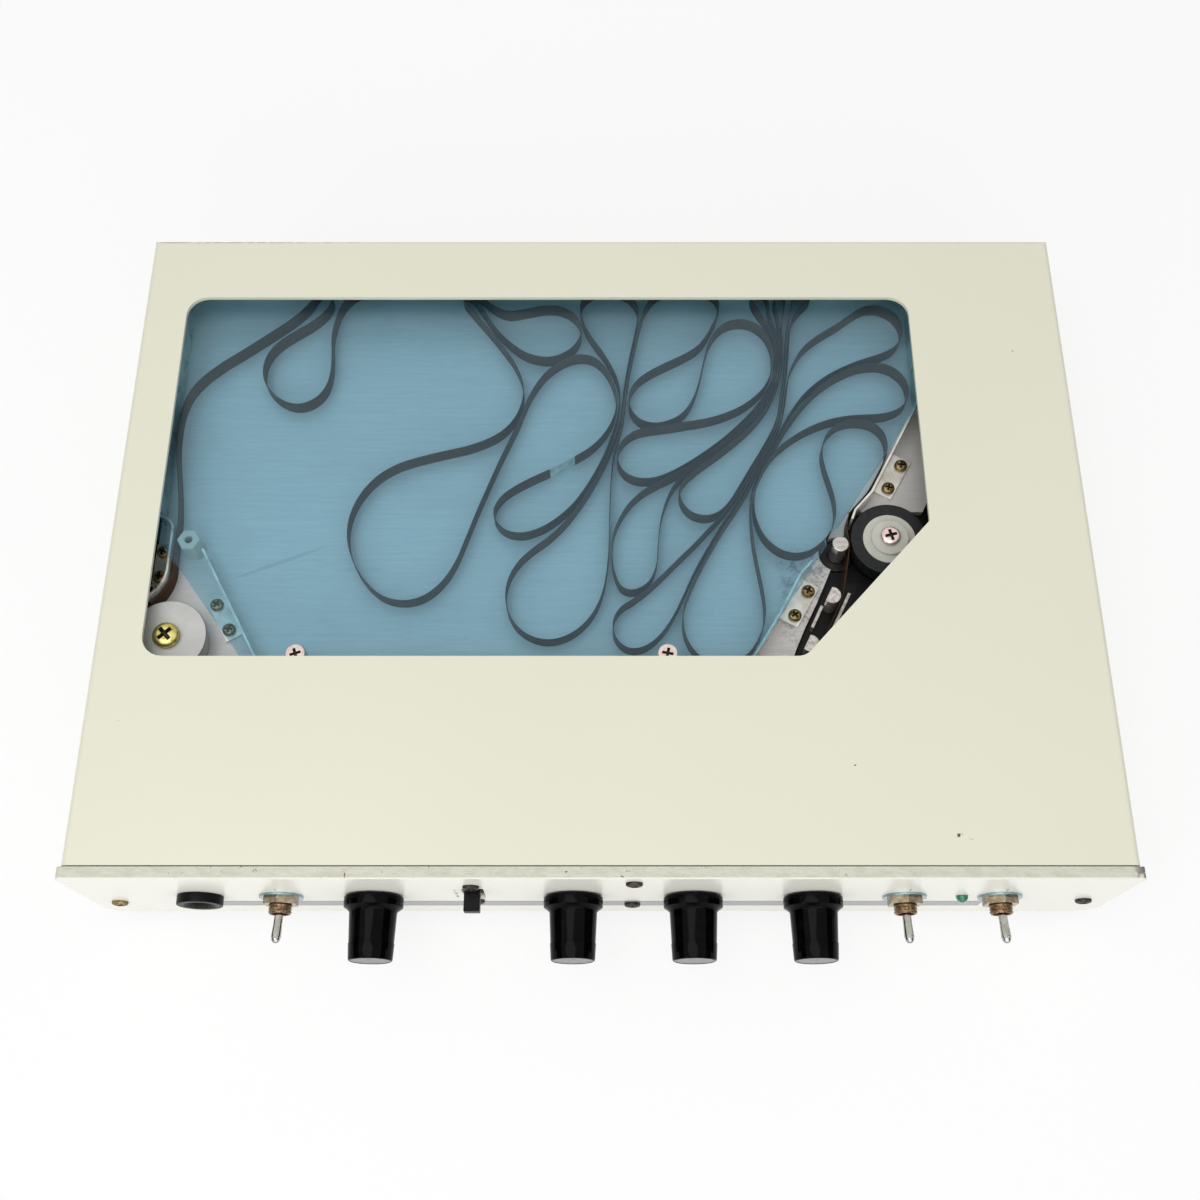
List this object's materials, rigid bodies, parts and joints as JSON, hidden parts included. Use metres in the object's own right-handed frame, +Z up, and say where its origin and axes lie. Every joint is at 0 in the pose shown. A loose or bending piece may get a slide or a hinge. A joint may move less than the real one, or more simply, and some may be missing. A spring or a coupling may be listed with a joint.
{
  "type": "tape echo unit",
  "caption": "Low desktop tape echo: an endless loop folded under a blue lid runs past heads, driven by a capstan and pinch roller; knobs, toggles and a slide switch in front.",
  "frame": {"origin": "middle of the bounding box on the surface that the feet rest on", "axes": "+X to the right seen from the front, +Y to the back, +Z up"},
  "size_m": [0.34, 0.272, 0.06],
  "materials": {
    "panel_paint": "warm white satin paint",
    "cover_paint": "cream semi-gloss paint, chipped along the edges",
    "chassis_steel": "zinc plated",
    "foot_rubber": "matt black rubber",
    "dark_screw": "blackened steel",
    "deck_black": "black paint",
    "brass": "dull brass",
    "floor_aluminium": "brushed",
    "wall_steel": "bright sheet",
    "blue_acrylic": "clear blue acrylic with a haze",
    "nylon": "white nylon",
    "bright_screw": "nickel plated",
    "tape": "dark grey-brown oxide tape",
    "splicing_tape": "clear splicing tape",
    "roller_aluminium": "turned",
    "ground_steel": "ground",
    "bronze": "sintered bronze",
    "tyre_rubber": "dark grey rubber",
    "head_metal": "ground mu-metal",
    "head_black": "black resin",
    "transformer_iron": "varnished laminations",
    "board_green": "green solder mask",
    "board_parts": "black moulded packages",
    "pot_steel": "plated steel",
    "toggle_nickel": "dull nickel over brass",
    "chrome": "polished chrome",
    "black_plastic": "black moulding",
    "led_green": "green moulded lens",
    "knob_black": "gloss black knob with a grey cap"
  },
  "bodies": {
    "root": {"chassis_base": "chassis_steel", "front_panel": "panel_paint", "top_cover": "cover_paint", "rear_panel": "cover_paint", "rubber_feet": "foot_rubber", "case_screws": "dark_screw", "panel_screws": "dark_screw", "mechanism_deck": "deck_black", "pillars": "chassis_steel", "deck_screws": "brass", "chamber_floor": "floor_aluminium", "chamber_fence": "wall_steel", "right_wall_upper": "wall_steel", "right_wall_lower": "wall_steel", "left_wall": "wall_steel", "exit_guide": "wall_steel", "chamber_lid": "blue_acrylic", "lid_standoffs": "nylon", "lid_screws": "bright_screw", "echo_tape": "tape", "tape_splice": "splicing_tape", "deck_posts": "chassis_steel", "idler_screw": "brass", "capstan_bearing": "bronze", "pinch_spring": "chassis_steel", "guide_bracket": "chassis_steel", "head_plate": "floor_aluminium", "erase_head": "head_black", "record_head": "head_metal", "playback_heads": "head_metal", "drive_motor": "head_metal", "drive_belt": "foot_rubber", "transformer": "transformer_iron", "circuit_board": "board_green", "board_parts": "board_parts", "potentiometers": "pot_steel", "toggle_switches": "toggle_nickel", "toggle_nuts": "toggle_nickel", "mode_switch": "black_plastic", "input_jack": "black_plastic", "output_jacks": "black_plastic", "power_led": "led_green", "cord_inlet": "black_plastic", "fuse_holder": "black_plastic"},
    "capstan": {"capstan_shaft": "ground_steel", "flywheel": "roller_aluminium"},
    "motor_pulley": {"motor_pulley": "brass"},
    "pinch_arm": {"pinch_arm": "deck_black", "pinch_screw": "bright_screw"},
    "pinch_roller": {"pinch_hub": "nylon", "pinch_tyre": "tyre_rubber"},
    "idler_roller": {"idler_roller": "roller_aluminium"},
    "knob_1": {"knob_1": "knob_black"},
    "knob_2": {"knob_2": "knob_black"},
    "knob_3": {"knob_3": "knob_black"},
    "knob_4": {"knob_4": "knob_black"},
    "toggle_lever_1": {"toggle_lever_1": "chrome"},
    "toggle_lever_2": {"toggle_lever_2": "chrome"},
    "toggle_lever_3": {"toggle_lever_3": "chrome"},
    "mode_lever": {"mode_lever": "black_plastic"}
  },
  "joints": [
    {"name": "capstan_turn", "type": "hinge", "parent": "root", "child": "capstan", "pos_m": [0.0837, 0.0039, 0.02], "axis": [0, 0, 1], "continuous": true},
    {"name": "motor_turn", "type": "hinge", "parent": "root", "child": "motor_pulley", "pos_m": [0.03, 0.032, 0.02], "axis": [0, 0, 1], "continuous": true},
    {"name": "pinch_swing", "type": "hinge", "parent": "root", "child": "pinch_arm", "pos_m": [0.112, -0.024, 0.041], "axis": [0, 0, 1], "range_deg": [-8, 0], "stiffness_Nm_per_rad": 0.2, "deforming": ["pinch_spring"]},
    {"name": "pinch_roller_turn", "type": "hinge", "parent": "pinch_arm", "child": "pinch_roller", "pos_m": [0.1013, 0.0066, 0.046], "axis": [0, 0, 1], "continuous": true},
    {"name": "idler_turn", "type": "hinge", "parent": "root", "child": "idler_roller", "pos_m": [-0.1473, -0.031, 0.046], "axis": [0, 0, 1], "continuous": true},
    {"name": "knob_1_turn", "type": "hinge", "parent": "root", "child": "knob_1", "pos_m": [-0.0744, -0.115, 0.033], "axis": [0, 1, 0], "range_deg": [-150, 150]},
    {"name": "knob_2_turn", "type": "hinge", "parent": "root", "child": "knob_2", "pos_m": [-0.009, -0.115, 0.033], "axis": [0, 1, 0], "range_deg": [-150, 150]},
    {"name": "knob_3_turn", "type": "hinge", "parent": "root", "child": "knob_3", "pos_m": [0.0303, -0.115, 0.033], "axis": [0, 1, 0], "range_deg": [-150, 150]},
    {"name": "knob_4_turn", "type": "hinge", "parent": "root", "child": "knob_4", "pos_m": [0.0696, -0.115, 0.033], "axis": [0, 1, 0], "range_deg": [-150, 150]},
    {"name": "toggle_1_flip", "type": "hinge", "parent": "root", "child": "toggle_lever_1", "pos_m": [-0.1049, -0.1174, 0.033], "axis": [1, 0, 0], "range_deg": [0, 24]},
    {"name": "toggle_2_flip", "type": "hinge", "parent": "root", "child": "toggle_lever_2", "pos_m": [0.0997, -0.1174, 0.033], "axis": [1, 0, 0], "range_deg": [0, 24]},
    {"name": "toggle_3_flip", "type": "hinge", "parent": "root", "child": "toggle_lever_3", "pos_m": [0.131, -0.1174, 0.033], "axis": [1, 0, 0], "range_deg": [0, 24]},
    {"name": "mode_slide", "type": "slide", "parent": "root", "child": "mode_lever", "axis": [0, 0, 1], "range_m": [-0.0096, 0]}
  ],
  "couplings": [
    {"joint": "motor_turn", "follows": "capstan_turn", "ratio": 5.8},
    {"joint": "pinch_roller_turn", "follows": "capstan_turn", "ratio": -0.22059},
    {"joint": "idler_turn", "follows": "capstan_turn", "ratio": 0.2459}
  ]
}
